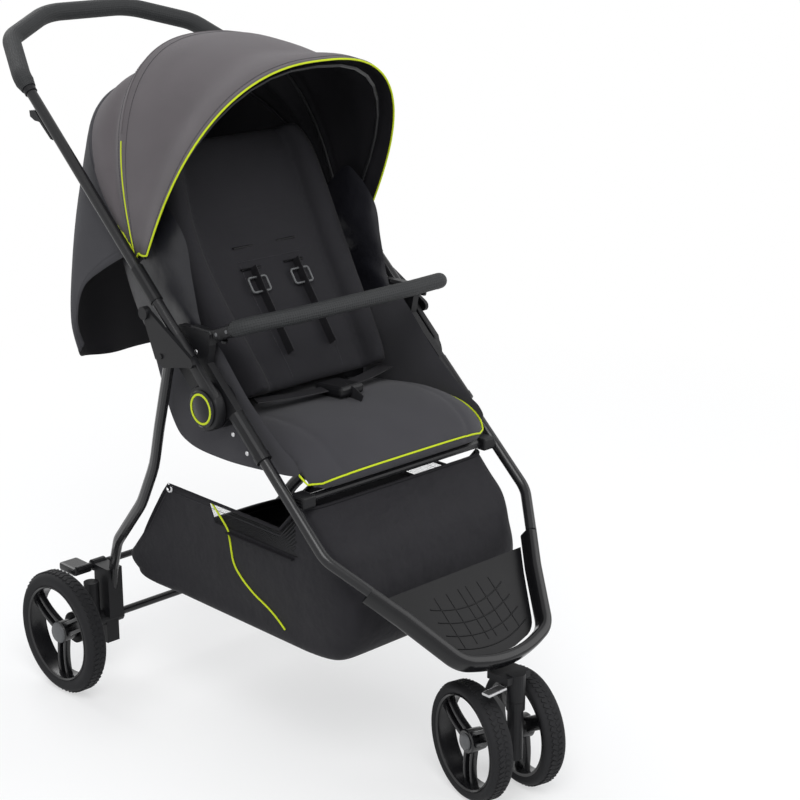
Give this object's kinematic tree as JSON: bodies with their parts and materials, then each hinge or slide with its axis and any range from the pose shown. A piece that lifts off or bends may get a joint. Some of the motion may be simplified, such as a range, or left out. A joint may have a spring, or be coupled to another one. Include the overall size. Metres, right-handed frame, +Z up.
{
  "type": "stroller",
  "caption": "Folding stroller with a reclining padded seat, bumper bar, canopy, under-seat basket, foot brake, two rear wheels and a swivelling double front caster.",
  "frame": {"origin": "on the ground, at the centre of the footprint's length and width", "axes": "+Z up, the stroller faces -Y, +X is the seated child's left"},
  "size_m": [0.5514, 1.0498, 1.081],
  "materials": {
    "frame_black": "satin black powder coat",
    "plastic_black": "fine-grained black moulding",
    "grip_foam": "matt foam grip",
    "tyre_rubber": "matt solid foam tyre",
    "rim_black": "satin black moulding",
    "cap_grey": "satin grey moulding",
    "steel": "zinc plated",
    "fabric_grey": "woven polyester",
    "fabric_dark": "woven polyester",
    "fabric_black": "woven polyester",
    "webbing": "woven webbing"
  },
  "bodies": {
    "chassis": {"front_hoop": "plastic_black", "footplate": "plastic_black", "caster_housing": "plastic_black", "seat_front_bar": "frame_black", "seat_pad": "fabric_dark", "harness_buckle": "plastic_black", "basket": "fabric_black", "front_tube_right": "frame_black", "front_tube_left": "frame_black", "side_plate_right": "plastic_black", "side_plate_left": "plastic_black", "seat_block_right": "plastic_black", "seat_block_left": "plastic_black", "side_panel_right": "fabric_dark", "side_panel_left": "fabric_dark"},
    "handle_frame": {"handlebar_grip": "grip_foam", "fold_hook": "plastic_black", "canopy_cloth": "fabric_grey", "rear_curtain": "fabric_dark", "handle_tube_right": "frame_black", "handle_tube_left": "frame_black", "hub_disc_right": "plastic_black", "hub_disc_left": "plastic_black", "hub_cap_right": "plastic_black", "hub_cap_left": "plastic_black", "canopy_clamp_right": "plastic_black", "canopy_clamp_left": "plastic_black"},
    "canopy_front": {"canopy_bow_front": "frame_black"},
    "canopy_middle": {"canopy_bow_middle": "frame_black"},
    "lock_lever": {"swivel_lock_lever": "steel"},
    "rear_frame": {"rear_axle": "frame_black", "rear_leg_right": "frame_black", "rear_leg_left": "frame_black", "leg_head_right": "plastic_black", "leg_head_left": "plastic_black", "leg_foot_right": "plastic_black", "leg_foot_left": "plastic_black"},
    "brake": {"brake_bar": "frame_black"},
    "caster": {"caster_fork": "plastic_black", "front_axle": "steel"},
    "bumper": {"bumper_grip": "grip_foam", "bumper_arm_right": "plastic_black", "bumper_arm_left": "plastic_black"},
    "seat_back": {"backrest": "fabric_black", "shoulder_strap_right": "webbing", "shoulder_strap_left": "webbing"},
    "rear_wheel_right": {"rear_tyre_right": "tyre_rubber", "rear_rim_right": "rim_black", "rear_hub_cap_right": "cap_grey"},
    "front_wheel_right": {"front_tyre_right": "tyre_rubber", "front_rim_right": "rim_black", "front_hub_cap_right": "cap_grey"},
    "rear_wheel_left": {"rear_tyre_left": "tyre_rubber", "rear_rim_left": "rim_black", "rear_hub_cap_left": "cap_grey"},
    "front_wheel_left": {"front_tyre_left": "tyre_rubber", "front_rim_left": "rim_black", "front_hub_cap_left": "cap_grey"}
  },
  "joints": [
    {"name": "fold_hinge", "type": "hinge", "parent": "chassis", "child": "handle_frame", "pos_m": [0, -0.05958, 0.55726], "axis": [1, 0, 0], "range_deg": [0, 110]},
    {"name": "rear_leg_fold", "type": "hinge", "parent": "chassis", "child": "rear_frame", "pos_m": [0, 0.02275, 0.6205], "axis": [1, 0, 0], "range_deg": [-45, 0]},
    {"name": "canopy_front_bow", "type": "hinge", "parent": "handle_frame", "child": "canopy_front", "pos_m": [0, 0.10951, 0.74383], "axis": [1, 0, 0], "range_deg": [-55, 0], "deforming": ["canopy_cloth"]},
    {"name": "canopy_middle_bow", "type": "hinge", "parent": "handle_frame", "child": "canopy_middle", "pos_m": [0, 0.10951, 0.74383], "axis": [1, 0, 0], "range_deg": [-17, 0]},
    {"name": "backrest_recline", "type": "hinge", "parent": "chassis", "child": "seat_back", "pos_m": [0, -0.0417, 0.545], "axis": [1, 0, 0], "range_deg": [-35, 0], "deforming": ["rear_curtain"]},
    {"name": "bumper_release", "type": "slide", "parent": "chassis", "child": "bumper", "axis": [0, -0.9249, 0.3801], "range_m": [0, 0.06]},
    {"name": "swivel_lock", "type": "hinge", "parent": "chassis", "child": "lock_lever", "pos_m": [-0.0255, -0.4697, 0.19025], "axis": [0, 1, 0], "range_deg": [0, 25]},
    {"name": "caster_swivel", "type": "hinge", "parent": "chassis", "child": "caster", "pos_m": [0, -0.4697, 0.16], "axis": [0, 0, 1], "continuous": true},
    {"name": "brake_pedal", "type": "hinge", "parent": "rear_frame", "child": "brake", "pos_m": [0, 0.3118, 0.19], "axis": [1, 0, 0], "range_deg": [-20, 0]},
    {"name": "rear_wheel_spin_right", "type": "hinge", "parent": "rear_frame", "child": "rear_wheel_right", "pos_m": [-0.25785, 0.2912, 0.1022], "axis": [1, 0, 0], "continuous": true},
    {"name": "front_wheel_spin_right", "type": "hinge", "parent": "caster", "child": "front_wheel_right", "pos_m": [-0.03409, -0.41591, 0.0896], "axis": [0.9732, -0.23, 0], "continuous": true},
    {"name": "rear_wheel_spin_left", "type": "hinge", "parent": "rear_frame", "child": "rear_wheel_left", "pos_m": [0.25785, 0.2912, 0.1022], "axis": [1, 0, 0], "continuous": true},
    {"name": "front_wheel_spin_left", "type": "hinge", "parent": "caster", "child": "front_wheel_left", "pos_m": [0.05457, -0.43687, 0.0896], "axis": [0.9732, -0.23, 0], "continuous": true}
  ],
  "couplings": [
    {"joint": "rear_leg_fold", "follows": "fold_hinge", "ratio": -0.375},
    {"joint": "canopy_middle_bow", "follows": "canopy_front_bow", "ratio": 0.3}
  ]
}
